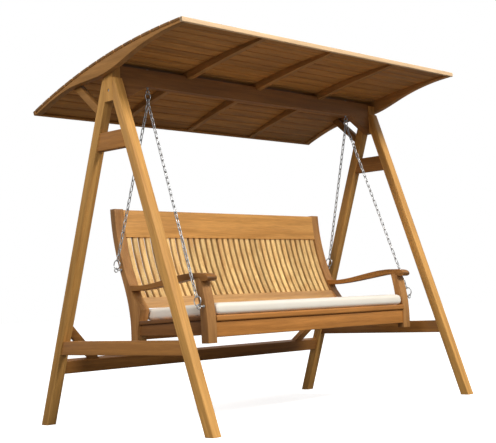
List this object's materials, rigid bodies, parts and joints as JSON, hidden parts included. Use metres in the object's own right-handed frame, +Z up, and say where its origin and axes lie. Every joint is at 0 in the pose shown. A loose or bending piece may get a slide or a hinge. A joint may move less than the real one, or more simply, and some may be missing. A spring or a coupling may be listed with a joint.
{
  "type": "porch_swing",
  "caption": "Free-standing timber porch swing: slatted bench with cushion hung on chains from the ridge beam of an A-frame stand with an arched slatted roof.",
  "frame": {"origin": "on the ground, under the middle of the stand", "axes": "+X along the ridge beam, towards the side on the right as seen from the front; +Y to the rear, where the back of the bench is; +Z up"},
  "size_m": [2.08, 1.2, 1.7891],
  "materials": {
    "frame_timber": "satin",
    "roof_slat_timber": "satin",
    "bench_timber": "satin",
    "slat_timber": "satin",
    "cushion_cloth": "matte",
    "galvanised_steel": "satin"
  },
  "bodies": {
    "stand": {"apex_block_left": "frame_timber", "apex_block_right": "frame_timber", "beam_bolts": "galvanised_steel", "beam_eye_bolts": "galvanised_steel", "beam_gusset_left": "frame_timber", "beam_gusset_right": "frame_timber", "end_rafter_left": "frame_timber", "end_rafter_right": "frame_timber", "inner_rafter_left": "frame_timber", "inner_rafter_middle": "frame_timber", "inner_rafter_right": "frame_timber", "leg_front_left": "frame_timber", "leg_front_right": "frame_timber", "leg_rear_left": "frame_timber", "leg_rear_right": "frame_timber", "rear_stretcher": "frame_timber", "ridge_beam": "frame_timber", "roof_front_fascia": "frame_timber", "roof_rear_fascia": "frame_timber", "roof_slats_front": "roof_slat_timber", "roof_slats_rear": "roof_slat_timber", "roof_strut_left": "frame_timber", "roof_strut_right": "frame_timber", "side_rail_left": "frame_timber", "side_rail_right": "frame_timber", "stretcher_brace_left": "frame_timber", "stretcher_brace_right": "frame_timber", "upper_crossbar_left": "frame_timber", "upper_crossbar_right": "frame_timber"},
    "bench": {"armrest_left": "bench_timber", "armrest_right": "bench_timber", "back_bottom_rail": "bench_timber", "back_slats": "slat_timber", "back_top_rail": "bench_timber", "front_chain_left": "galvanised_steel", "front_chain_right": "galvanised_steel", "front_post_left": "bench_timber", "front_post_right": "bench_timber", "hanging_rings": "galvanised_steel", "post_eye_bolts": "galvanised_steel", "post_rings": "galvanised_steel", "rear_chain_left": "galvanised_steel", "rear_chain_right": "galvanised_steel", "rear_post_left": "bench_timber", "rear_post_right": "bench_timber", "seat_bearer_left": "bench_timber", "seat_bearer_middle": "bench_timber", "seat_bearer_right": "bench_timber", "seat_cushion": "cushion_cloth", "seat_front_apron": "bench_timber", "seat_nosing": "bench_timber", "seat_rear_rail": "bench_timber", "seat_side_apron_left": "bench_timber", "seat_side_apron_right": "bench_timber", "seat_side_cap_left": "bench_timber", "seat_side_cap_right": "bench_timber", "seat_slats": "slat_timber"}
  },
  "joints": [
    {"name": "swing", "type": "hinge", "parent": "stand", "child": "bench", "pos_m": [0, 0, 1.57265], "axis": [1, 0, 0], "range_deg": [-20, 20]}
  ]
}
